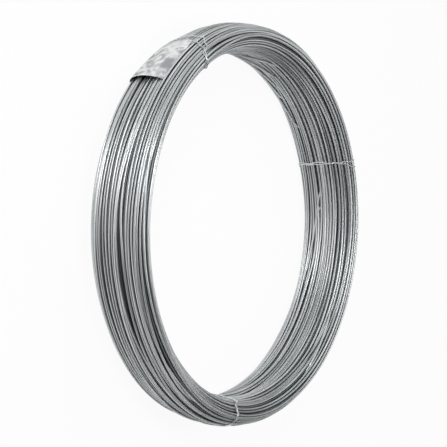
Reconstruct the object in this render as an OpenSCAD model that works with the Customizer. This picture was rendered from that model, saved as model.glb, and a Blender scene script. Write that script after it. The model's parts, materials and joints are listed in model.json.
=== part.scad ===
// Coil of galvanized steel wire, tied in three places.
// One long wire is wound on a round former into an oval bundle. Three tie wires, each laid
// double and twisted up, hold the bundle together. A paper label lies over its tread.
// It lies on its end, on the three ties. Z = 0 is the floor, and Z runs up the coil's axis.

/* [Coil] */
// Diameter of the bore, which is that of the former that the wire was wound on
bore_d = 500; // [300:10:800]
// Thickness of the bundle from the bore to the tread
build_up = 43; // [34:1:70]
// Width of the bundle along the coil's axis
coil_width = 97; // [85:1:160]
// Radius of the bundle's two rounded ends
end_radius = 14; // [10:0.5:16]
// Width of the flat band of turns that lay on the former
bore_band = 30; // [16:1:44]

/* [Wire] */
// Diameter of the coiled wire
wire_d = 3.15; // [1.8:0.05:4]
// Clear gap between neighbouring turns at the surface
turn_gap = 0.25; // [0.1:0.05:0.8]

/* [Ties] */
// Diameter of the tie wire
tie_d = 1; // [0.8:0.1:1.6]
// Distance between the two strands of a tie, centre to centre
tie_spacing = 8; // [3:0.5:12]
// Clearance between a tie and the turns that it holds
tie_clearance = 0.2; // [0.1:0.05:0.4]

/* [Label] */
// Thickness of the label
label_t = 0.5; // [0.3:0.1:0.8]
// Length of the label along the coil
label_length = 84; // [40:1:120]
// Clearance between the label and the turns under it
label_clearance = 0.3; // [0.2:0.05:0.5]
// Distance between the label and the tie beside it
label_gap = 3; // [1:0.5:10]

/* [Hidden] */
$fn = 64;

// The bundle's section is drawn with its build along x, outwards, and its width along y.
// A facing angle is the direction in which a point of its outline looks: 0 is into the
// bore, 90 is along the axis, 180 is out from the tread and 270 is back along the axis.
half_up = build_up / 2;
half_width = coil_width / 2;
middle_r = bore_d / 2 + half_up;
tread_r = bore_d / 2 + build_up;
end_y = half_width - end_radius;
band_y = bore_band / 2;

// Where the ties lie, in degrees round the coil. The label starts beside the first tie.
tie_angles = [211, 114, 349];
// The facing angles between which the label and a tie's twist lie.
label_facings = [170, 250];
twist_facings = [45, 95];

// The outline is an oval of tangent arcs. This is the radius of an arc that looks along
// the build at y = from_y and runs into the end arc.
function arc_radius(from_y) =
    (pow(end_y - from_y, 2) + pow(half_up, 2) - pow(end_radius, 2)) / (2 * (half_up - end_radius));
crown_radius = arc_radius(0);
haunch_radius = arc_radius(band_y);
crown_turn = atan2(end_y, crown_radius - half_up);
haunch_turn = atan2(end_y - band_y, haunch_radius - half_up);

// Each arc of one half of the outline: its centre, its radius, and the facing angles that
// it starts and ends at.
haunch = [[haunch_radius - half_up, band_y], haunch_radius, 0, haunch_turn];
end = [[0, end_y], end_radius, haunch_turn, 180 - crown_turn];
crown = [[half_up - crown_radius, 0], crown_radius, 180 - crown_turn, 180];
arcs = [haunch, end, crown];
function arc_at(facing) = facing < haunch[3] ? haunch : facing < end[3] ? end : crown;

// The outline's point at a facing angle, moved outwards from the outline by out.
function outline_point(facing, out) =
    let (
        half_facing = min(facing, 360 - facing),
        arc = arc_at(half_facing),
        reach = arc[1] + out,
        y = arc[0][1] + reach * sin(half_facing)
    )
    [arc[0][0] - reach * cos(half_facing), facing > 180 ? -y : y];

// The facing angles at the start, or at the middle, of equal steps along an arc.
function arc_length(arc) = arc[1] * (arc[3] - arc[2]) * PI / 180;
function arc_facings(arc, count, part) =
    [for (i = [0:count - 1]) arc[2] + (arc[3] - arc[2]) * (i + part) / count];
function both_halves(facings) =
    concat(facings, [for (i = [len(facings) - 1:-1:0]) if (facings[i] < 180) 360 - facings[i]]);

// Where the surface turns look: at the middle of steps of one turn and its gap.
turn_facings = both_halves([
    for (arc = arcs)
        each arc_facings(arc, round(arc_length(arc) / (wire_d + turn_gap)), 0.5),
]);

// Where a tie's bends look: evenly along its twist, and elsewhere so close together that
// its straight pieces sag by no more than this.
tie_sag = 0.05;
bend_facings = both_halves([
    for (arc = arcs)
        each arc_facings(arc, ceil(arc_length(arc) / sqrt(8 * tie_sag * arc[1])), 0),
    180,
]);
twist_steps = 18;
tie_facings = [
    for (facing = bend_facings) if (facing < twist_facings[0]) facing,
    for (i = [0:twist_steps])
        twist_facings[0] + (twist_facings[1] - twist_facings[0]) * i / twist_steps,
    for (facing = bend_facings) if (facing > twist_facings[1]) facing,
];

// The corners of the ridge that a surface turn makes. They lie on the turn's circle.
ridge_corners = [-72, -36, 0, 36, 72];
function ridge(facing) =
    let (centre = outline_point(facing, -wire_d / 2))
    [
        for (corner = ridge_corners)
            centre + wire_d / 2 * [-cos(facing + corner), sin(facing + corner)],
    ];

// The bundle's section, with a ridge for each surface turn and the flat band in the bore.
module section() {
    polygon(concat(
        [[-half_up, band_y]],
        [for (facing = turn_facings) each ridge(facing)],
        [[-half_up, -band_y]]
    ));
}

// Lays down a coil that is drawn round Z and centred on the origin. It rests on its ties.
module placed() {
    translate([0, 0, half_width + tie_clearance + tie_d]) children();
}

// Stands a shape that is drawn on the bundle's section at an angle round the coil.
module across(angle) {
    placed()
        rotate([0, 0, angle])
            translate([middle_r, 0, 0])
                rotate([90, 0, 0]) children();
}

module wire_coil() {
    color("silver")
        placed()
            rotate_extrude(angle = 360)
                translate([middle_r, 0]) section();
}

// A tie is one loop of wire that runs twice round the bundle. Its two laps lie side by
// side, meet at the twist, and change sides as they wind round each other there.
twist_half_turns = 3;
twist_reach = 0.6 * tie_d;
splay_turn = 40;
// How far the laps have spread out from the twist, from 0 in it to 1 beside it.
function spread(facing) =
    let (away = max(twist_facings[0] - facing, facing - twist_facings[1], 0))
    (1 - cos(180 * min(away / splay_turn, 1))) / 2;
// The angle that a lap has turned through about the middle of the twist.
function lap_turn(lap, facing) =
    let (wound = (facing - twist_facings[0]) / (twist_facings[1] - twist_facings[0]))
    180 * (lap + twist_half_turns * min(max(wound, 0), 1));
// The middle of a lap: its distance out from the outline, and aside from the tie's middle.
function lap_out(lap, facing) =
    tie_clearance + tie_d / 2
        + twist_reach * (1 - spread(facing) + sin(lap_turn(lap, facing)));
function lap_aside(lap, facing) =
    (twist_reach + (tie_spacing / 2 - twist_reach) * spread(facing))
        * cos(lap_turn(lap, facing));

// The wire of a tie has flats that touch its round, and a ring of corners at each bend.
wire_sides = 8;
module tie_wire(angle) {
    reach = tie_d / 2 / cos(180 / wire_sides);
    rings = 2 * len(tie_facings);
    points = [
        for (lap = [0, 1], facing = tie_facings, i = [0:wire_sides - 1])
            let (
                turn = 360 * (i + 0.5) / wire_sides,
                p = outline_point(facing, lap_out(lap, facing) + reach * cos(turn))
            )
                [p[0], p[1], lap_aside(lap, facing) + reach * sin(turn)],
    ];
    walls = [
        for (ring = [0:rings - 1], i = [0:wire_sides - 1])
            let (
                here = ring * wire_sides,
                ahead = (ring + 1) % rings * wire_sides,
                j = (i + 1) % wire_sides
            )
                each [[here + i, here + j, ahead + j], [here + i, ahead + j, ahead + i]],
    ];
    color("gainsboro")
        across(angle)
            polyhedron(points = points, faces = walls);
}

// The angle round the coil that a length along its tread takes up.
function tread_turn(length) = length / tread_r * 180 / PI;

// The label: a thin sheet over the tread.
label_steps = 24;
module label() {
    rings = [
        for (i = [0:label_steps])
            label_facings[0] + (label_facings[1] - label_facings[0]) * i / label_steps,
    ];
    color("whitesmoke")
        placed()
            rotate([0, 0, tie_angles[0] + tread_turn((tie_spacing + tie_d) / 2 + label_gap)])
                rotate_extrude(angle = tread_turn(label_length))
                    translate([middle_r, 0])
                        polygon(concat(
                            [for (facing = rings) outline_point(facing, label_clearance)],
                            [
                                for (i = [label_steps:-1:0])
                                    outline_point(rings[i], label_clearance + label_t),
                            ]
                        ));
}

wire_coil();
tie_wire(tie_angles[0]);  // tie_wire_1
tie_wire(tie_angles[1]);  // tie_wire_2
tie_wire(tie_angles[2]);  // tie_wire_3
label();
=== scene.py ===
# %% [markdown]
# # A coil of galvanized wire
# One long steel wire is wound into a ring-shaped bundle, three thin tie wires hold it, and a
# paper label lies over its tread. The CAD model holds the sizes. This script adds the looks:
# the turns of the wire one by one, the ties, the label, and how zinc, steel and paper shine.

# %% Load the CAD model
import json
import math

import bpy
import numpy as np
from mathutils import Matrix, Vector


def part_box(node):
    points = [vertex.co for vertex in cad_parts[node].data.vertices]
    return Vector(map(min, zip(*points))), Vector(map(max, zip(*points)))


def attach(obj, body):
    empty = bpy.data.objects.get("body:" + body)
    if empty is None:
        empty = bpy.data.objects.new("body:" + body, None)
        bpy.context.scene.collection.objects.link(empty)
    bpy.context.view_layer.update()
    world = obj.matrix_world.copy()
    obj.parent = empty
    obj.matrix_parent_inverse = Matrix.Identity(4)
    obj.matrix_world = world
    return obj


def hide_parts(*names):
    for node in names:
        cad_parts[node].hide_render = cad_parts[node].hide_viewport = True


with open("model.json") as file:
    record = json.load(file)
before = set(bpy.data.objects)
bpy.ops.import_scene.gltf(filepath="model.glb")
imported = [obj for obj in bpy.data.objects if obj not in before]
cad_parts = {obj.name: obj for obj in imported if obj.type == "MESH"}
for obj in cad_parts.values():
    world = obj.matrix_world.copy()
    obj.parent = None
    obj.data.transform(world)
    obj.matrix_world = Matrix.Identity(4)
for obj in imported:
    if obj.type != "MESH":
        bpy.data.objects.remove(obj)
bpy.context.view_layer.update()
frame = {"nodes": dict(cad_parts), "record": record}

MM = 0.001
TURN = 2 * math.pi
rng = np.random.default_rng(7)
print("CAD nodes:", ", ".join(sorted(frame["nodes"])))

# %% [markdown]
# ## The bundle's sizes
# Everything is placed from the CAD: the bore's radius is stated by its mount, and the box of
# the turned solid gives the tread's radius and the width. A place in the bundle is a turn
# angle round the coil and a point (x, y) of its section, x outwards and y upwards.

# %% Measure the coil
coil_low, coil_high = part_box("wire_coil")
BORE_RADIUS = frame["record"]["mounts"][0]["dims"]["r_mm"] * MM
HALF_UP = (coil_high.x - BORE_RADIUS) / 2
HALF_WIDTH = (coil_high.z - coil_low.z) / 2
MIDDLE_RADIUS = BORE_RADIUS + HALF_UP
MIDDLE_HEIGHT = (coil_high.z + coil_low.z) / 2
WIRE = 3.15 * MM
LEAN = 0.05  # the part of y that is added to x
print(f"section {2 * HALF_UP / MM:.0f} x {2 * HALF_WIDTH / MM:.0f} mm,",
      f"middle radius {MIDDLE_RADIUS / MM:.1f} mm")


def in_space(section, angle):
    """Section points (x, y) at angles round the coil, in space: the radius is the middle
    radius plus x, plus a little of y because the bundle leans, and the height is y."""
    radius = MIDDLE_RADIUS + section[..., 0] + LEAN * section[..., 1]
    height = MIDDLE_HEIGHT + section[..., 1] + 0 * angle
    return np.stack([radius * np.cos(angle), radius * np.sin(angle), height], -1)


# %% The outline of the section
OUTLINE_POWER = 2.2


def facing_of(section):
    """The facing of a section point, in degrees: 0 at the bore, 90 upwards, 180 at the tread
    and 270 downwards. It is the angle of the normal of the superellipse through the point,
    whose parts are x^(p-1)/a^p and y^(p-1)/b^p."""
    x, y = section[..., 0] / HALF_UP, section[..., 1] / HALF_WIDTH
    normal_x = np.sign(x) * np.abs(x) ** (OUTLINE_POWER - 1) / HALF_UP
    normal_y = np.sign(y) * np.abs(y) ** (OUTLINE_POWER - 1) / HALF_WIDTH
    return np.degrees(np.arctan2(normal_y, -normal_x)) % 360


t = np.linspace(0, TURN, 1441)
outline = np.stack([-np.sign(np.cos(t)) * np.abs(np.cos(t)) ** (2 / OUTLINE_POWER) * HALF_UP,
                    np.sign(np.sin(t)) * np.abs(np.sin(t)) ** (2 / OUTLINE_POWER) * HALF_WIDTH], -1)
FACING = facing_of(outline)
FACING[-1] = 360
FACING[0] = 0
DISTANCE = np.concatenate([[0], np.cumsum(np.linalg.norm(np.diff(outline, axis=0), axis=-1))])
PERIMETER = DISTANCE[-1]
print(f"perimeter {PERIMETER / MM:.0f} mm")


# %% Places on the section
def on_section(distance, depth):
    """The section point that lies at a distance round the superellipse and a depth below it."""
    distance = distance % PERIMETER
    facing = np.radians(np.interp(distance, DISTANCE, FACING))
    x = np.interp(distance, DISTANCE, outline[:, 0]) + depth * np.cos(facing)
    y = np.interp(distance, DISTANCE, outline[:, 1]) - depth * np.sin(facing)
    return np.stack([x, y], -1)


def at_facing(degrees):
    """The distance round the outline of the point that faces this way."""
    return np.interp(degrees, FACING, DISTANCE)


def ease(value, start, end):
    """0 before the start, 1 after the end, and between them t squared times (3 - 2t)."""
    t = np.clip((value - start) / (end - start), 0, 1)
    return t * t * (3 - 2 * t)


print(f"the tread is {at_facing(180) / MM:.0f} mm round the section from the bore")

# %% [markdown]
# ## Winding the wire
# The real coil is one wire of about 240 turns. The turns that show are its outer three
# layers, and they could be separate rings, but then no turn would lead into the next. Here
# one path runs round the coil turn after turn. Each turn ends one place further round the
# section, and the places spiral inwards, so the whole path is one wire.

# %% Places of the turns in the section
LAYERS = 3
LAYER_STEP = 1.02 * WIRE
FIRST_DEPTH = WIRE / 2 + 1.0 * MM
STATIONS = 120  # points on each turn
MOST_TURNS = 400  # more than are needed, so that the layers can be filled

# the turns lie in groups of two to five, and the gap after each group is wider, in mm
group_ends = np.cumsum(rng.choice([2, 3, 3, 4, 4, 5], 300))
group_ends = group_ends[group_ends < MOST_TURNS]
spare = rng.choice([0.8, 1.1, 1.4, 1.7], MOST_TURNS) + rng.uniform(0, 0.3, MOST_TURNS)
spare[group_ends] = rng.uniform(2.0, 3.0, len(group_ends))

# a lap is once round the section's outline, and each turn goes one step further
steps = (WIRE + spare * MM) / (PERIMETER - TURN * FIRST_DEPTH)
laps = np.concatenate([[0], np.cumsum(steps)])
TURNS = int(np.searchsorted(laps, LAYERS))
turn = np.arange(TURNS * STATIONS) / STATIONS
angle = TURN * (turn % 1)
degrees = np.degrees(angle)
lap = np.interp(turn, np.arange(len(laps)), laps)
distance = (lap % 1) * PERIMETER

# the wire goes down to the next layer over the last part of each lap
depth = FIRST_DEPTH + LAYER_STEP * (np.floor(lap) + ease(lap % 1, 0.94, 1))
# the wire's outer end is tucked in between the turns below it
depth = depth + 2 * LAYER_STEP * (1 - ease(turn, 0, 0.08))
print(f"{TURNS} turns, {TURNS * TURN * MIDDLE_RADIUS:.0f} m of wire in {LAYERS} layers")

# %% [markdown]
# The bundle isn't even all the way round. For a quarter of a turn the upper third of the
# tread rides up over the rest, like a step, and the label is tucked in under that step.

# %% The step in the tread
STEP_FACING = 170.5
LABEL_MIDDLE = 215 / 360  # of a turn


def terrace(facing, degrees):
    """How far the tread lies below the outline: full just past the step's edge, easing to
    nothing at the lower end, and drawn along the coil through a few stated depths. Just
    before the label starts the depth is negative: there the turns spring up."""
    across = ease(facing, STEP_FACING - 0.5, STEP_FACING + 0.5) * (1 - ease(facing, 178, 215))
    along = np.interp(degrees, [186, 196, 204, 209, 213, 219, 232, 256, 284, 320],
                      [0, -3, -4.5, -3.5, 0, 4, 4.4, 2.2, 2.8, 0])
    return along * across * MM


def edge_sway(degrees):
    """The step's edge runs askew past the label: the stated sideways shifts, in mm."""
    return np.interp(degrees, [192, 209, 230, 250], [0, 3, -3, 0]) * MM


# a turn is above or below the step by its facing where it passes the label
at_label = np.round(turn - LABEL_MIDDLE) + LABEL_MIDDLE
label_lap = np.interp(at_label, np.arange(len(laps)), laps)
turn_facing = np.interp((label_lap % 1) * PERIMETER, DISTANCE, FACING)
lowered = terrace(turn_facing, degrees)
depth = depth + lowered
print(f"the tread is up to {lowered.max() / MM:.1f} mm low, and {-lowered.min() / MM:.1f} mm proud")

# %% [markdown]
# Loose turns never lie quite true. Whole groups of neighbours drift sideways or swell
# together, and each turn wanders a little by itself. Sums of sine waves do this: whole
# numbers of waves round the section and round the coil close on themselves, and waves along
# the wire carry on from turn to turn. The ties hold the turns still where they cross.

# %% Drift, swell and wander
TIE_ANGLES = np.radians([211, 114, 349])
TIE_REACH = math.radians(9)


def group_waves(count, finest, slow):
    """A sum of waves over the section's outline and round the coil, about 1 high: each has a
    whole number of waves both ways, and a random phase."""
    total = np.zeros_like(turn)
    for _ in range(count):
        across = rng.integers(3, finest)
        along = rng.integers(-slow, slow + 1)
        total += np.sin(TURN * across * lap + along * angle + rng.uniform(0, TURN))
    return total / math.sqrt(count / 2)


def wire_waves(count, slowest, fastest):
    """A sum of waves along the wire, about 1 high, so that neighbours wander differently."""
    total = np.zeros_like(turn)
    for _ in range(count):
        total += np.sin(TURN * rng.uniform(slowest, fastest) * turn + rng.uniform(0, TURN))
    return total / math.sqrt(count / 2)


def near(value, centre, reach):
    """1 at the centre of a range of angles, falling to 0 as a bell curve."""
    off = (value - centre + math.pi) % TURN - math.pi
    return np.exp(-((off / reach) ** 2))


# the ties take away 0.7 of the play of the turns that they cross
held = sum(near(angle, tie, TIE_REACH) for tie in TIE_ANGLES)
loose = 1 - 0.7 * np.clip(held, 0, 1)
drift = (1.3 * group_waves(14, 16, 2) + 0.6 * wire_waves(6, 1.5, 5)) * MM * loose
drift += edge_sway(degrees) * np.exp(-(((turn_facing - 168) / 12) ** 2))
swell = (0.9 * group_waves(12, 14, 3) + 0.8 * wire_waves(6, 1.5, 6)) * MM * loose
print(f"drift up to {np.abs(drift).max() / MM:.1f} mm,",
      f"swell up to {np.abs(swell).max() / MM:.1f} mm")

# %% [markdown]
# Some furrows between groups of turns are deep and run a long way, where the bundle was bent
# open. Each is a place on the section and a stretch round the coil. A few strands also cross
# over their neighbours from one group to another, and press them down. Both are made the
# same way: a disc that runs along them and pushes the other turns aside.

# %% Furrows
FURROWS = [
    # first and last angle round the coil, first and last facing, width in mm
    (62, 114, 353, 349, 5.8),
    (120, 149, 346, 347, 5.8),
    (74, 134, 11, 11, 4.6),
    (61, 88, 17, 16, 3.6),
    (132, 155, 7, 7, 3.8),
    (130, 162, 30, 31, 5.1),
    (150, 163, 42, 45, 3.4),
    (138, 150, 39, 41, 3.8),
    (165, 191, 53, 77, 6.0),
    (162, 175, 35, 37, 4.6),
    (171, 186, 17, 18, 4.1),
    (160, 176, 0, 2, 3.8),
    (119, 134, 19, 17, 3.6),
    (43, 61, 353, 352, 4.6),
    (26, 40, 355, 353, 4.3),
    (25, 38, 9, 7, 3.8),
    (356, 368, 11, 9, 3.3),
    (346, 359, 38, 36, 3.8),
    (224, 241, 190, 173, 8.9),
    (243, 273, 171, 171, 5.1),
    (256, 276, 175, 175, 4.1),
    (247, 282, 183, 183, 4.3),
    (234, 248, 178, 178, 3.8),
    (273, 298, 173, 174, 8.3),
    (261, 279, 141, 141, 3.6),
    (306, 321, 118, 126, 4.1),
    (307, 328, 187, 185, 4.6),
    (296, 315, 169, 170, 4.6),
    (287, 302, 189, 188, 4.1),
    (311, 327, 175, 174, 3.8),
    (196, 213, 172.5, 173, 7.6),
    (335, 348, 168, 163, 5.8),
    (215, 229, 117, 121, 3.2),
    (224, 237, 145, 147, 2.9),
    (324, 335, 184, 182, 3.6),
    (301, 313, 130, 131, 2.9),
    (278, 293, 147, 141, 3.4),
    (189, 202, 99, 112, 4.9),
    (187, 198, 117, 128, 4.5),
    (187, 197, 59, 81, 4.5),
    (203, 213, 81, 93, 4.1),
    (174, 186, 23, 25, 4.2),
    (188, 196, 22, 20, 4.1),
    (143, 162, 12, 12, 3.8),
    (214, 238, 164, 166, 4.1),
    (214, 224, 140, 142, 3.4),
    (329, 347, 86, 48, 4.1),
    (359, 374, 88, 63, 4.1),
    (44, 56, 344, 341, 4.2),
    (31, 53, 13, 12, 4.6),
    (296, 309, 147, 147, 3.8),
    (303, 315, 161, 159, 3.8),
    (261, 276, 157, 156, 3.8),
    (75, 112, 26, 25, 3.8),
    (58, 70, 25, 27, 4.1),
    (152, 166, 62, 68, 4.1),
    (170, 184, 88, 96, 4.1),
    (195, 212, 193, 190, 3.6),
    (197, 211, 181, 180, 3.4),
]
# a few more at random places on the lower side
for _ in range(12):
    start, facing = rng.uniform(0, 360), rng.uniform(200, 335)
    FURROWS.append((start, start + rng.uniform(15, 50), facing, facing, rng.uniform(3.0, 6.0)))
print(len(FURROWS), "furrows")


# %% The discs that open them
def degrees_past(degrees, first):
    """How many degrees past the first angle, from -180 to 180."""
    return (degrees - first + 180) % 360 - 180


def between(value, first, last, soft):
    """1 between two angles in degrees, with soft ends of that many degrees."""
    return 1 / (1 + np.exp(-(value - first) / soft)) / (1 + np.exp((value - last) / soft))


DISC_DEPTH = 2.0 * MM
SOFT_ENDS = 2  # degrees round the coil over which a furrow opens

# each disc has a middle and a reach at every point of the wire's path
pushers = []
for first, last, facing, last_facing, width in FURROWS:
    along = degrees_past(degrees, (first + last) / 2) + (last - first) / 2
    turning = degrees_past(last_facing, facing) * np.clip(along / (last - first), 0, 1)
    middle = on_section(at_facing((facing + turning) % 360), DISC_DEPTH + terrace(facing, degrees))
    reach = (WIRE + width * MM) / 2 * between(along, 0, last - first, SOFT_ENDS)
    pushers.append((middle, reach))
print(len(pushers), "discs")

# %% Crossing strands
STRAYS = [
    # first and last angle round the coil, first and last facing
    (64, 101, 341, 357),
    (69, 108, 343, 359),
    (176, 143, 325, 352),
    (170, 137, 314, 347),
    (182, 150, 338, 358),
    (164, 130, 306, 341),
    (158, 124, 318, 350),
    (186, 158, 346, 8),
    (240, 340, 130, 153),
    (30, 64, 38, 20),
    (204, 262, 112, 128),
]
DIVE = 3.6 * WIRE  # how far down into the pack a strand's ends go
STRAY_REACH = 1.25 * WIRE  # how far the other turns keep away from a strand


def stray_section(stray, along):
    """A crossing strand's section points: its facing goes evenly from the first to the last,
    and it comes up out of the pack at its start and dives back at its end."""
    first, last = stray[2:]
    facing = (first + degrees_past(last, first) * along) % 360
    dive = 1 - ease(along, 0, 0.22) + ease(along, 0.78, 1)
    return on_section(at_facing(facing), WIRE / 2 + 0.05 * MM + DIVE * dive)


for stray in STRAYS:
    along = (degrees - stray[0]) / (stray[1] - stray[0])
    inside = (along > 0) & (along < 1)
    pushers.append((stray_section(stray, np.clip(along, 0, 1)), STRAY_REACH * inside))
print(len(STRAYS), "crossing strands")

places = on_section(distance + drift, depth + swell)

# %% [markdown]
# Waves alone would push turns through each other. So the turns are settled, as they would
# be by shaking the coil: at every station round it each turn pushes off its ten nearest
# neighbours until they are a wire's width apart, a little stiffness keeps every turn smooth
# along its length, and the outline holds them all in.

# %% Settle the turns
ROUNDS = 160
NEIGHBOURS = 10
KEPT_APART = 1.01 * WIRE
PUSH = 0.45  # the part of an overlap that each of the two turns gives way by
DISC_PUSH = 0.4
STIFFNESS = 0.3
PULL_BACK = 0.02  # towards the place that the waves gave
BULGE = 0.6 * MM  # how far the turns may stand proud of the outline
FLAT = 25  # degrees of facing either side of the bore and the floor where they may not
LABEL_ANGLES = (211.5, 229)
LABEL_FACINGS = (169, 248)


def limit(section, radius_x, radius_y, lift, inside):
    """Moves points that are outside a superellipse (or inside it) to its edge, along the line
    to its centre. The edge is at the point over its own power sum, plus the lift."""
    how_far = (
        np.abs(section[..., 0] / radius_x) ** OUTLINE_POWER
        + np.abs(section[..., 1] / radius_y) ** OUTLINE_POWER
    ) ** (1 / OUTLINE_POWER)
    scale = 1 / how_far + lift / np.linalg.norm(section, axis=-1)
    scale = np.minimum(scale, 1) if inside else np.maximum(scale, 1)
    return section * scale[..., None]


def settle(path, rounds):
    """Pushes the turns apart in the plane of each station, round after round. The path is in
    the order of the wire, so that a turn's end stays joined to the start of the next. The
    turns lie close to the outline at the bore, under the label and on the floor, and may
    bulge out of it elsewhere."""
    wanted = path.copy()
    outer = np.array([HALF_UP, HALF_WIDTH]) - WIRE / 2
    # no turn goes deeper than the third layer
    core = np.array([HALF_UP, HALF_WIDTH]) - FIRST_DEPTH - (LAYERS - 0.3) * LAYER_STEP
    station = np.arange(STATIONS)[:, None, None]
    for n in range(rounds):
        across = path.reshape(TURNS, STATIONS, 2).transpose(1, 0, 2)
        # who is near whom changes slowly, so it is worked out again every 20 rounds
        if n % 20 == 0:
            apart = np.linalg.norm(across[:, :, None] - across[:, None], axis=-1)
            nearest = np.argpartition(apart, NEIGHBOURS + 1, axis=-1)[..., : NEIGHBOURS + 1]
        away = across[:, :, None] - across[station, nearest]
        gap = np.linalg.norm(away, axis=-1)
        lap_over = np.where(gap > 0, np.clip(KEPT_APART - gap, 0, None), 0)
        push = (away / np.maximum(gap, 1e-9)[..., None] * lap_over[..., None]).sum(2) * PUSH
        path = path + push.transpose(1, 0, 2).reshape(-1, 2)
        path[1:-1] += STIFFNESS * (path[:-2] + path[2:] - 2 * path[1:-1])
        path += PULL_BACK * (wanted - path)
        for middle, reach in pushers:
            away = path - middle
            gap = np.linalg.norm(away, axis=-1)
            path += away * (DISC_PUSH * np.clip(reach - gap, 0, None) / gap)[:, None]
        facing = facing_of(path)
        in_label = between(degrees, *LABEL_ANGLES, 1) * between(facing, *LABEL_FACINGS, 2)
        at_bore = np.exp(-((degrees_past(facing, 0) / FLAT) ** 4))
        at_floor = np.exp(-(((facing - 270) / FLAT) ** 4))
        bulge = BULGE * (1 - in_label) * (1 - at_bore) * (1 - 1.5 * at_floor)
        path = limit(path, *outer, bulge - lowered, True)
        path = limit(path, *core, -lowered, False)
    # the last pushes leave small kinks, which eight rounds of smoothing take out
    for _ in range(8):
        path[1:-1] += 0.25 * (path[:-2] + path[2:] - 2 * path[1:-1])
    overlap = lap_over.max() / MM
    print(f"settled in {rounds} rounds, deepest overlap left {overlap:.2f} mm")
    return path


places = settle(places, ROUNDS)

# %% [markdown]
# ## From path to wire
# A curve object with a round bevel could carry the wire, but it would be converted to a mesh
# for the export in any case. A tube worked out as one grid is just as easy: rings of points
# stand across the path, and the grid's two directions are along the wire and round it.

# %% Tube meshes
def smooth_double(path):
    """Puts a point halfway between each two, on the cubic through the four points round it."""
    ends = np.concatenate([path[:1], path, path[-1:]])
    halfway = (9 * (ends[1:-2] + ends[2:-1]) - (ends[:-3] + ends[3:])) / 16
    both = np.empty((2 * len(path) - 1, path.shape[1]))
    both[::2], both[1::2] = path, halfway
    return both


def unit(vectors):
    """Each vector over its own length."""
    return vectors / np.linalg.norm(vectors, axis=-1, keepdims=True)


def tube(path, outwards, radius, sides):
    """Rings of points round a path: each is the path's point plus the radius times the cosine
    of an angle along outwards, made square to the path, and the sine along the third axis."""
    along = unit(np.gradient(path, axis=0))
    first = unit(outwards - (outwards * along).sum(-1, keepdims=True) * along)
    second = np.cross(along, first)
    turned = TURN * np.arange(sides) / sides
    return path[:, None] + radius * (
        np.cos(turned)[:, None] * first[:, None] + np.sin(turned)[:, None] * second[:, None]
    )


def wire_places(run, sides, radius):
    """The place of each ring point on its own wire, in metres: the length along the wire, and
    the radius times the cosine and the sine of the angle round it, so that it has no seam."""
    turned = TURN * np.arange(sides) / sides
    along, round_it = np.meshgrid(run, turned, indexing="ij")
    place = np.stack([along, radius * np.cos(round_it), radius * np.sin(round_it)], -1)
    return place.reshape(-1, 3)


# %% Mesh objects
def new_object(name, points, faces, material, run=None, uv=None):
    """A mesh object from points and faces. Run is each point's place on its own wire, kept as
    an attribute for the materials, and uv is a place on a sheet."""
    mesh = bpy.data.meshes.new(name)
    mesh.from_pydata(points.reshape(-1, 3), [], faces)
    mesh.update()
    mesh.shade_smooth()
    if run is not None:
        kept = mesh.attributes.new("run", "FLOAT_VECTOR", "POINT")
        kept.data.foreach_set("vector", np.ravel(run).astype(np.float32))
    if uv is not None:
        corner = np.empty(len(mesh.loops), np.int32)
        mesh.loops.foreach_get("vertex_index", corner)
        mesh.uv_layers.new(name="UVMap").data.foreach_set("uv", uv.reshape(-1, 2)[corner].ravel())
    mesh.materials.append(material)
    piece = bpy.data.objects.new(name, mesh)
    bpy.context.scene.collection.objects.link(piece)
    return piece


def grid_faces(rows, columns, close_rows=False, close_columns=True):
    """Quads over a grid of points whose rows and columns may close into rings."""
    row = np.arange(rows if close_rows else rows - 1)[:, None]
    column = np.arange(columns if close_columns else columns - 1)[None]
    next_row, beside = (row + 1) % rows, (column + 1) % columns
    corners = [row * columns + column, row * columns + beside,
               next_row * columns + beside, next_row * columns + column]
    return np.stack(np.broadcast_arrays(*corners), -1).reshape(-1, 4)


def tube_object(name, tubes, material, runs):
    """One mesh of several tubes, each a grid of rings with flat ends, and the length along the
    wire at each ring."""
    faces, first = [], 0
    for rings in tubes:
        rows, columns = rings.shape[:2]
        faces += (grid_faces(rows, columns) + first).tolist()
        faces.append(list(range(first, first + columns))[::-1])
        faces.append(list(range(first + (rows - 1) * columns, first + rows * columns)))
        first += rows * columns
    points = np.concatenate([rings.reshape(-1, 3) for rings in tubes])
    run = np.concatenate(
        [wire_places(length, rings.shape[1], WIRE / 2) for length, rings in zip(runs, tubes)]
    )
    piece = new_object(name, points, faces, material, run)
    print(name, sum(len(f) - 2 for f in faces), "triangles")
    return piece

# %% [markdown]
# ## Materials
# Three finishes show: zinc-coated wire, the softer zinc-coated wire of the ties, and coated
# paper. All are made of nodes. An image could give the same look, but it would have one fixed
# sharpness, while noise in real units stays sharp at any distance. Wire is drawn through
# dies, so its marks run along it. The noise therefore reads each point's place on its own
# wire and is stretched along it, and it turns with the wire all the way round the coil.

# %% Colours and nodes
def linear(hex_colour):
    """sRGB hex to the linear values that shaders use."""
    channels = [int(hex_colour[i : i + 2], 16) / 255 for i in (1, 3, 5)]
    return [c / 12.92 if c <= 0.04045 else ((c + 0.055) / 1.055) ** 2.4 for c in channels] + [1]


def add_node(tree, kind, settings=None, **inputs):
    """Adds a node, sets its settings, and gives each named input a value or a link."""
    node = tree.nodes.new(kind)
    for name, value in (settings or {}).items():
        setattr(node, name, value)
    for name, value in inputs.items():
        socket = node.inputs[int(name[1:]) if name[0] == "_" else name.replace("_", " ")]
        if isinstance(value, bpy.types.NodeSocket):
            tree.links.new(value, socket)
        else:
            socket.default_value = value
    return node


def new_material(name):
    """A material with its node tree and the shader in it."""
    material = bpy.data.materials.new(name)
    material.use_nodes = True
    tree = material.node_tree
    return material, tree, tree.nodes["Principled BSDF"]


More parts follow.
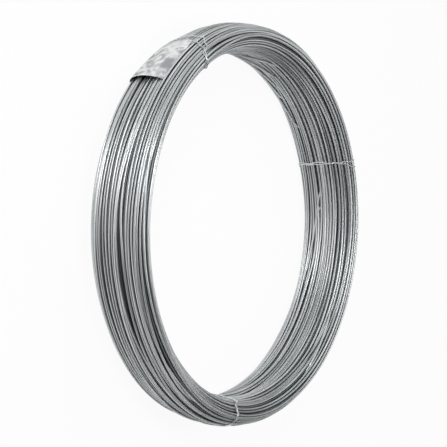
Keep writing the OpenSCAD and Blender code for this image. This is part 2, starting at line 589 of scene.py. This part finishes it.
# %% Zinc-coated drawn steel wire
def zinc_coated_drawn_steel(name, dull, bright, rough):
    """Low-carbon steel drawn through dies and dipped in zinc. The eye sees a pale satin metal
    with faint streaks along the wire, and longer stretches where the zinc lies thicker."""
    material, tree, shader = new_material(name)
    run = add_node(tree, "ShaderNodeAttribute", {"attribute_name": "run"}).outputs["Vector"]
    # stretches of coat about 300 mm long, the same all round the wire
    stretches = add_node(tree, "ShaderNodeVectorMath", {"operation": "MULTIPLY"},
                         _0=run, _1=(3.5, 40, 40))
    patches = add_node(tree, "ShaderNodeTexNoise",
                       Vector=stretches.outputs[0], Scale=1, Detail=2)
    # streaks about 40 mm long and 0.8 mm wide, from the die and the wiping of the bath
    thinned = add_node(tree, "ShaderNodeVectorMath", {"operation": "MULTIPLY"},
                       _0=run, _1=(25, 1200, 1200))
    streaks = add_node(tree, "ShaderNodeTexNoise",
                       Vector=thinned.outputs[0], Scale=1, Detail=3)
    both = add_node(tree, "ShaderNodeMath", {"operation": "MULTIPLY_ADD"},
                    _0=streaks.outputs["Fac"], _1=0.35, _2=patches.outputs["Fac"])
    tone = add_node(tree, "ShaderNodeMapRange",
                    Value=both.outputs[0], From_Min=0.5, From_Max=0.85)
    colour = add_node(tree, "ShaderNodeMix", {"data_type": "RGBA"},
                      _0=tone.outputs["Result"], _6=linear(dull), _7=linear(bright))
    tree.links.new(colour.outputs[2], shader.inputs["Base Color"])
    shader.inputs["Metallic"].default_value = 1
    roughness = add_node(tree, "ShaderNodeMapRange",
                         Value=streaks.outputs["Fac"], From_Min=0.3, From_Max=0.7,
                         To_Min=rough - 0.06, To_Max=rough + 0.06)
    tree.links.new(roughness.outputs["Result"], shader.inputs["Roughness"])
    bump = add_node(tree, "ShaderNodeBump",
                    Height=streaks.outputs["Fac"], Strength=0.15, Distance=0.1 * MM)
    tree.links.new(bump.outputs["Normal"], shader.inputs["Normal"])
    return material


zinc_wire = zinc_coated_drawn_steel("zinc_coated_drawn_steel", "#a5a9aa", "#ecefef", 0.44)
# the turns further in have darker, duller zinc: the darker colour is painted shade for the deep
# gaps between the outer turns, and their roughness is higher
shade_painted_wire = zinc_coated_drawn_steel("zinc_painted_dark_as_shade", "#74787a", "#909496", 0.55)
# the tying wire is annealed, and its zinc is painted paler than the coil's, a painted highlight so
# that its thin strands show bright
tie_wire_painted_bright = zinc_coated_drawn_steel("soft_zinc_tying_wire_painted_bright", "#d4d7d9", "#eff1f2", 0.4)
print("materials:", ", ".join(m.name for m in (zinc_wire, shade_painted_wire, tie_wire_painted_bright)))

# %% [markdown]
# The path now becomes meshes, a few dozen turns to each. One mesh would hold too many faces,
# and one for each turn would be a list that nobody wants to scroll through. The turns below
# the outer layer show only in the gaps, so they have fewer sides.

# %% The turns as meshes
path = smooth_double(places)
wire_angle = np.arange(len(path)) / (2 * STATIONS) * TURN
spine = in_space(path, wire_angle)
outwards = np.stack([np.cos(wire_angle), np.sin(wire_angle), 0 * wire_angle], -1)
run = np.concatenate([[0], np.cumsum(np.linalg.norm(np.diff(spine, axis=0), axis=-1))])
print(f"{run[-1]:.0f} m of wire drawn")
outer_turns = int(np.searchsorted(laps, 1)) + 2  # the first lap, and two turns more
SHOWN_SIDES, HIDDEN_SIDES = 10, 6

coil_pieces = []
start = 0
while start < TURNS:
    # 40 turns of ten sides, or 66 of six, keep a piece under 200,000 triangles
    if start < outer_turns:
        sides, material, count = SHOWN_SIDES, zinc_wire, min(40, outer_turns - start)
    else:
        # the turns below the outer layer wear the darker colour that is painted shade
        sides, material, count = HIDDEN_SIDES, shade_painted_wire, 66
    part = slice(start * 2 * STATIONS, (start + count) * 2 * STATIONS + 1)
    rings = tube(spine[part], outwards[part], WIRE / 2, sides)
    name = f"wire_turns_{len(coil_pieces) + 1}"
    coil_pieces.append(tube_object(name, [rings], material, [run[part]]))
    start += count

# %% Crossing strands as meshes
STRAY_POINTS = 120
stray_paths, stray_runs = [], []
for n, stray in enumerate(STRAYS):
    along = np.linspace(0, 1, STRAY_POINTS)
    stray_angle = np.radians(stray[0] + (stray[1] - stray[0]) * along)
    stray_spine = in_space(stray_section(stray, along), stray_angle)
    side = np.stack([np.cos(stray_angle), np.sin(stray_angle), 0 * stray_angle], -1)
    stray_paths.append(tube(stray_spine, side, WIRE / 2, SHOWN_SIDES))
    # each strand has its own metre of the wire's noise, so that their streaks differ
    stray_runs.append(n + 0.2 * along)
coil_pieces.append(tube_object("crossing_strands", stray_paths, zinc_wire, stray_runs))

# %% [markdown]
# The inside of the bundle is never seen, except as the dark at the bottom of a deep gap. A
# plain ring under the third layer closes it off, and saves drawing a hundred hidden turns.

# %% The core
around, across = 180, 48  # points round the coil and round the section
core_angle = (TURN * np.arange(around) / around)[:, None]
core_distance = np.arange(across) / across * PERIMETER
core_facing = np.interp(core_distance, DISTANCE, FACING)
core_depth = FIRST_DEPTH + (LAYERS - 0.2) * LAYER_STEP  # just under the third layer
core_depth = core_depth + terrace(core_facing, np.degrees(core_angle))
core_points = in_space(on_section(core_distance + 0 * core_angle, core_depth), core_angle)
core_faces = grid_faces(around, across, close_rows=True).tolist()
# the core wears the same darker colour, painted shade at the bottom of the deep gaps
wire_core = new_object("wire_core", core_points, core_faces, shade_painted_wire, run=core_points)
coil_pieces.append(wire_core)
print("wire_core", 2 * len(core_faces), "triangles")

for piece in coil_pieces:
    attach(piece, "root")
    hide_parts("wire_coil")

# %% [markdown]
# ## Ties
# Each tie is a thin soft wire laid double round the bundle, pulled tight and closed with a
# twist. It could be a neat oval, but a tight wire runs straight from one proud turn to the
# next and stands free over the dips. So its path is the outline of a cord pulled round the
# turns that it crosses. The two strands lie apart beside the twist and wind round each other
# in it, and both are one closed tube, so that no end hangs open.

# %% The three ties
# the CAD's ties are 1 mm, and these are drawn a little thicker, so that they show
TIE = 1.4 * MM
TWISTS = ((34, 108), (4, 18), (25, 112))  # the facings of the twist's two ends
SPREADS = (16, 11, 5)  # how far apart the two strands lie beside the twist, in mm
TIE_COURSES = (
    # facing and angle round the coil: the ties run a little askew
    ((0, 213), (34, 215), (72, 216), (110, 215.5), (130, 214), (151, 212.3), (170, 210),
     (250, 209.6), (300, 211)),
    ((0, 114), (25, 113.6), (50, 112.6), (90, 111.8), (180, 111.5), (270, 111.8),
     (311, 112.5), (343, 113.5)),
    ((0, 350.5), (24, 350.5), (63, 346.8), (116, 347), (146, 348.5), (200, 349),
     (300, 349.5)),
)
print(f"{len(TIE_COURSES)} ties of {TIE / MM:.1f} mm wire")


# %% Where a tight wire lies
def outward_normal(facing):
    """The direction that a facing in degrees means, in the section: minus its cosine along x,
    and its sine along y."""
    return np.stack([-np.cos(np.radians(facing)), np.sin(np.radians(facing))], -1)


def pulled_tight(centres_near, course, radius, first_facing, points):
    """A cord pulled tight round discs: for each direction it touches the disc that reaches
    furthest that way, at its centre plus the radius along the direction. The points come out
    evenly spaced, with their facings and angles, and start at the first facing."""
    facing = np.arange(first_facing, first_facing + 360.1, 0.25)
    where = np.radians(np.interp(facing % 360, *np.array(course).T, period=360))
    normal = outward_normal(facing)
    station = np.round(where / TURN * STATIONS).astype(int)
    touch = np.empty_like(normal)
    for one in np.unique(station):
        centres = centres_near(one)
        there = station == one
        touch[there] = centres[(centres @ normal[there].T).argmax(0)] + radius * normal[there]
    length = np.concatenate([[0], np.cumsum(np.linalg.norm(np.diff(touch, axis=0), axis=-1))])
    even = np.linspace(0, length[-1], points, endpoint=False)
    lap = np.stack([np.interp(even, length, touch[:, i]) for i in (0, 1)], -1)
    return lap, np.interp(even, length, facing), np.interp(even, length, where), even


def centres_near(station):
    """The middles of all the turns at a station and the two beside it."""
    across = places.reshape(TURNS, STATIONS, 2)
    beside = [(station - 1) % STATIONS, station % STATIONS, (station + 1) % STATIONS]
    return across[:, beside].reshape(-1, 2)


# %% The doubled wire
HALF_TURNS = 3  # of the twist
TIE_POINTS = 900
TOUCH = 1.35  # the strands lie side by side, in mm between their middles
WOUND_RADIUS = 0.62 * TIE


def gap_between_strands(even, twist_start, whole, spread):
    """How far apart the two strands' middles lie along a lap: stated gaps at stated lengths,
    joined by straight lines. They part beside the twist, meet, and part a little again."""
    lengths = np.array([0, 14, 28, 110, 150, 190]) * MM
    before_twist = twist_start - np.array([26, 18, 6, 0]) * MM
    gaps = [TOUCH, spread / 2, spread, spread, 4, TOUCH, TOUCH, 4, 4, TOUCH, TOUCH]
    return np.interp(even, [*lengths, *before_twist, whole], gaps) * MM


def tie_paths(course, twist, spread):
    """A doubled wire: two laps round the bundle that lie apart on the tread, and wind round
    each other in the twist, where each is off the pair's middle by the cosine of the winding
    angle sideways and its sine outwards."""
    clearance = (WIRE + TIE) / 2 + 0.02 * MM
    lap, facing, where, even = pulled_tight(centres_near, course, clearance, twist[1], TIE_POINTS)
    twist_start = np.interp(twist[0] + 360, facing, even)
    whole = even[-1] + even[1]
    apart = gap_between_strands(even, twist_start, whole, spread)
    # a wire has no sharp bends, so the corners of the gaps and of the course are smoothed
    for _ in range(60):
        apart = (apart + np.roll(apart, 1) + np.roll(apart, -1)) / 3
        inner = (where[:-2] + where[1:-1] + where[2:]) / 3
        where = np.concatenate([where[:1], inner, where[-1:]])
    wound = np.clip((even - twist_start) / (whole - twist_start), 0, 1)
    winding = math.pi * HALF_TURNS * wound
    raised = ease(even, twist_start - 2 * MM, twist_start + 3 * MM)
    raised = raised * (1 - ease(even, whole - 5 * MM, whole))
    aside = np.where(wound > 0, WOUND_RADIUS * np.cos(winding), apart / 2)
    normal = outward_normal(facing)
    strands = []
    for sign in (1, -1):
        out = WOUND_RADIUS * raised * (1 + sign * np.sin(winding))
        strands.append(in_space(lap + normal * out[:, None], where + sign * aside / MIDDLE_RADIUS))
    away = in_space(normal * 0.01, where) - in_space(normal * 0, where)
    return np.concatenate(strands), np.tile(away, (2, 1))


# %% The ties as meshes
TIE_SIDES = 8
TIE_STEP = 0.3 * MM  # about how far apart the rings lie, for the streaks

for n, (course, twist, spread) in enumerate(zip(TIE_COURSES, TWISTS, SPREADS)):
    tie_spine, tie_out = tie_paths(course, twist, spread)
    for _ in range(3):
        tie_spine = (np.roll(tie_spine, 1, 0) + 2 * tie_spine + np.roll(tie_spine, -1, 0)) / 4
    # two points more at each end, so that the closed loop has no seam
    closed = np.concatenate([tie_spine[-2:], tie_spine, tie_spine[:2]])
    closed_out = np.concatenate([tie_out[-2:], tie_out, tie_out[:2]])
    rings = tube(closed, closed_out, TIE / 2, TIE_SIDES)[2:-2]
    faces = grid_faces(len(rings), TIE_SIDES, close_rows=True).tolist()
    length = wire_places(np.arange(len(rings)) * TIE_STEP, TIE_SIDES, TIE / 2)
    piece = new_object(f"tie_{n + 1}", rings, faces, tie_wire_painted_bright, length)
    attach(piece, "root")
    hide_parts(f"tie_wire_{n + 1}")
    print(piece.name, 2 * len(faces), "triangles")

# %% [markdown]
# ## Label
# A paper label lies over the tread, tucked under the step at one side. It could be a bent
# plane, but real paper follows the turns under it, stands up in an arch at its loose end and
# has soft creases. The sheet is a grid: one direction runs round the coil, the other across
# the tread, and its height over the wires is a sum of an arch and a few crease lines. A
# Solidify modifier gives the paper its thickness. It carries no lettering, only one plain
# printed block.

# %% Printed paper
# The pattern's size in mm, along the coil and across it. The sheet is about 82 by 75 mm, so
# smudges and folds come out a fifth longer across the coil than along it.
PATTERN_SIZE = (84, 62)


def printed_colour(tree, sheet, paper):
    """The paper's colour, with one plain grey block printed on it: the product of three ramps
    over the sheet is 1 inside the block, and each ramp is one of its soft edges."""
    place = add_node(tree, "ShaderNodeSeparateXYZ", Vector=sheet).outputs
    block = 1
    # for each edge, the places on the sheet where the ink is at nothing and at its full
    for direction, none, full in (("X", 0.45, 0.53), ("X", 0.81, 0.73), ("Y", 0.30, 0.24)):
        edge = add_node(tree, "ShaderNodeMapRange",
                        Value=place[direction], From_Min=none, From_Max=full).outputs["Result"]
        block = add_node(tree, "ShaderNodeMath", {"operation": "MULTIPLY"},
                         _0=edge, _1=block).outputs[0]
    printed = add_node(tree, "ShaderNodeMix", {"data_type": "RGBA"},
                       _0=block, _6=paper, _7=linear("#939699"))
    return printed.outputs[2]


# %% Coated paper
def coated_paper():
    """White paper with a thin clay coat, printed with one plain grey block, handled and
    creased. The eye sees a soft white with grey smudges where the folds have rubbed."""
    material, tree, shader = new_material("white_coated_paper")
    sheet = add_node(tree, "ShaderNodeTexCoord").outputs["UV"]
    in_mm = add_node(tree, "ShaderNodeVectorMath", {"operation": "MULTIPLY"},
                     _0=sheet, _1=(*PATTERN_SIZE, 0)).outputs[0]
    # smudges about 16 mm across
    smudges = add_node(tree, "ShaderNodeTexNoise",
                       Vector=in_mm, Scale=1 / 16, Detail=3, Distortion=1.2)
    rubbed = add_node(tree, "ShaderNodeMapRange",
                      Value=smudges.outputs["Fac"], From_Min=0.40, From_Max=0.62)
    white = add_node(tree, "ShaderNodeMix", {"data_type": "RGBA"},
                     _0=rubbed.outputs["Result"], _6=linear("#e4e5e5"), _7=linear("#9b9da0"))
    colour = printed_colour(tree, sheet, white.outputs[2])
    tree.links.new(colour, shader.inputs["Base Color"])
    # folds about 22 mm apart and 1.2 mm high
    folds = add_node(tree, "ShaderNodeTexNoise", {"noise_type": "RIDGED_MULTIFRACTAL"},
                     Vector=in_mm, Scale=1 / 22, Detail=3)
    bump = add_node(tree, "ShaderNodeBump",
                    Height=folds.outputs["Fac"], Strength=0.5, Distance=1.2 * MM)
    tree.links.new(bump.outputs["Normal"], shader.inputs["Normal"])
    # the coat's sheen changes over half a millimetre, with the fibres under it
    fibres = add_node(tree, "ShaderNodeTexNoise", Vector=in_mm, Scale=2, Detail=2)
    sheen = add_node(tree, "ShaderNodeMapRange",
                     Value=fibres.outputs["Fac"], To_Min=0.42, To_Max=0.6)
    tree.links.new(sheen.outputs["Result"], shader.inputs["Roughness"])
    return material


white_paper = coated_paper()
print("material:", white_paper.name)


# %% Creases
def creases(u, v, count):
    """The heights of a few soft creases in mm: each is a bell curve of the distance to a
    straight line over the sheet, with a random slope, place, width and height."""
    total = 0
    for _ in range(count):
        slope, middle, width = rng.uniform(-1, 1), rng.uniform(0, 1), rng.uniform(0.03, 0.08)
        line = (v - middle) + slope * (u - rng.uniform(0.2, 0.8))
        total = total + rng.uniform(-0.35, 0.35) * np.exp(-((line / width) ** 2))
    return total


# %% The label sheet
LABEL_POINTS = 121  # each way
PAPER = 0.2 * MM


def label_sheet():
    """A grid over the tread, u along the coil and v across it. Each point is below the outline
    by the terrace's depth, less a stand-off, plus the creases. The stand-off is 0.45 mm and
    an arch, a sine of v to the power 0.7, that rises with u cubed to 5.5 mm at the loose end.
    At the tucked edge the sheet goes 0.6 mm down."""
    u = np.linspace(0, 1, LABEL_POINTS)[:, None]
    v = np.linspace(0, 1, LABEL_POINTS)[None]
    first, last = LABEL_ANGLES
    # the sheet lies askew by a degree, and is three degrees shorter at its lower edge
    sheet_degrees = first + 1.0 * v + (last - first - 3.0 * v) * u
    upper, lower = at_facing(LABEL_FACINGS)
    along = upper + (lower - upper) * v + edge_sway(sheet_degrees) * (1 - v)
    facing = np.interp(along, DISTANCE, FACING)
    wires = terrace(np.maximum(facing, STEP_FACING + 1), sheet_degrees)
    arch = np.sin(np.pi * np.clip(v * 1.05, 0, 1)) ** 0.7
    stand_off = 0.45 * MM + (0.5 + 5.0 * u**3) * MM * arch - 0.6 * MM * (1 - ease(v, 0, 0.1))
    depth = wires - stand_off + creases(u, v, 9) * MM * ease(v, 0, 0.12)
    points = in_space(on_section(along + 0 * u, depth), np.radians(sheet_degrees))
    uv = np.stack(np.broadcast_arrays(u, v), -1)
    faces = grid_faces(LABEL_POINTS, LABEL_POINTS, close_columns=False).tolist()
    return new_object("paper_label", points, faces, white_paper, uv=uv)


# %% The label's paper thickness
label = label_sheet()
thickness = label.modifiers.new("thickness", "SOLIDIFY")
thickness.thickness = PAPER
thickness.offset = -1
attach(label, "root")
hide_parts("label")
print(label.name, 2 * len(label.data.polygons), "triangles on its face,",
      f"{PAPER / MM:.1f} mm thick")

# %% [markdown]
# ## Studio
# The coil lies on a pale floor that the camera sees as nearly white, and metal shows the same
# white in its reflections. Only a part of the floor's own grey is left in, and that part
# carries the coil's shadow. Metal has no tone of its own, only what it mirrors, so the lamps
# are a few softboxes of different sizes with dark between them: a wide lamp gives a broad
# sheen, and a small one draws a fine bright line along each wire.

# %% Floor
FLOOR_SIZE = 12  # so wide that its edges are out of sight
bpy.ops.mesh.primitive_plane_add(size=FLOOR_SIZE)
floor = bpy.context.object
floor.name = "floor"
white_floor, tree, shader = new_material("white_floor")
shader.inputs["Base Color"].default_value = linear("#f2f2f2")
shader.inputs["Roughness"].default_value = 0.9
rays = add_node(tree, "ShaderNodeLightPath").outputs
seen = rays["Is Camera Ray"]
for kind in ("Is Glossy Ray", "Is Transmission Ray"):
    seen = add_node(tree, "ShaderNodeMath", {"operation": "MAXIMUM"},
                    _0=seen, _1=rays[kind]).outputs[0]
# the rest, 0.07, is the floor's own paint in lamp light, which darkens where the shadow lies
part = add_node(tree, "ShaderNodeMath", {"operation": "MULTIPLY"}, _0=seen, _1=0.93)
white = add_node(tree, "ShaderNodeEmission", Strength=1)
mixed = add_node(tree, "ShaderNodeMixShader",
                 _0=part.outputs[0], _1=shader.outputs[0], _2=white.outputs[0])
tree.links.new(mixed.outputs[0], tree.nodes["Material Output"].inputs["Surface"])
floor.data.materials.append(white_floor)
print(f"a white floor, {FLOOR_SIZE} m each way")

# %% World
world = bpy.data.worlds.new("studio")
bpy.context.scene.world = world
world.use_nodes = True
background = world.node_tree.nodes["Background"].inputs
background["Color"].default_value = (1, 1, 1, 1)
background["Strength"].default_value = 0.03
print(f"a white world of strength {background['Strength'].default_value:.2f}")

# %% [markdown]
# The camera looks at the coil from above and to one side. It is rolled by a quarter of a
# turn, so that the coil, which lies flat on the floor, stands upright in the picture. The
# picture's own axes are worked out first, because the lamps are placed by them too.

# %% The picture's axes
target = np.array([0, 0, MIDDLE_HEIGHT])
to_camera = unit(np.array([-0.0110, -0.8269, 0.5622]))
# upwards in the picture is sideways for the coil, and 3 degrees off its x axis
up = np.array([-0.9986, -0.0523, 0.0])
right = unit(np.cross(-to_camera, up))
up = np.cross(right, -to_camera)
CAMERA_DISTANCE = 6.5741 * MIDDLE_RADIUS
camera_rise = math.degrees(math.asin(to_camera[2]))
print(f"camera {CAMERA_DISTANCE:.2f} m away, {camera_rise:.0f} degrees up")


# %% Lamps
LAMP_DISTANCE = 1.8


def softbox(name, across, upwards, forwards, size, power):
    """A round lamp that looks at the coil from a direction given in the picture's own axes:
    across, upwards and towards the camera. Its size is in metres and its power in watts."""
    light = bpy.data.lights.new(name, "AREA")
    light.shape = "DISK"
    light.size = size
    light.energy = power
    holder = bpy.data.objects.new(name, light)
    bpy.context.scene.collection.objects.link(holder)
    back = unit(across * right + upwards * up + forwards * to_camera)
    holder.location = target + back * LAMP_DISTANCE
    holder.rotation_euler = Vector(back).to_track_quat("Z", "Y").to_euler()
    holder.visible_camera = False
    print(f"{name}: {size} m across, {power} W")


softbox("front_softbox", 0, 0.40, 0.9, 0.7, 15)
softbox("side_softbox", 0.75, 0, 0.66, 0.7, 9.5)
softbox("back_softbox", 0.97, 0.12, -0.19, 1.8, 8)
softbox("top_softbox", 0, 1, 0.15, 1.4, 4)
softbox("high_softbox", 0.6, 0.75, 0.3, 1.4, 6)
softbox("low_softbox", 0.6, -0.75, 0.3, 1.4, 5)

# %% Camera
camera_data = bpy.data.cameras.new("camera")
camera_data.lens = 97.6
camera_data.sensor_width = 36
# the picture's middle is a little off the coil's own
camera_data.shift_x = -0.03375
camera_data.shift_y = 0.00273
camera = bpy.data.objects.new("camera", camera_data)
bpy.context.scene.collection.objects.link(camera)
camera.location = target + to_camera * CAMERA_DISTANCE
camera.rotation_euler = Matrix([list(v) for v in np.stack([right, up, to_camera], -1)]).to_euler()
bpy.context.scene.camera = camera
bpy.context.scene.view_settings.view_transform = "Standard"
print(f"{camera.name}: a {camera_data.lens:.0f} mm lens")
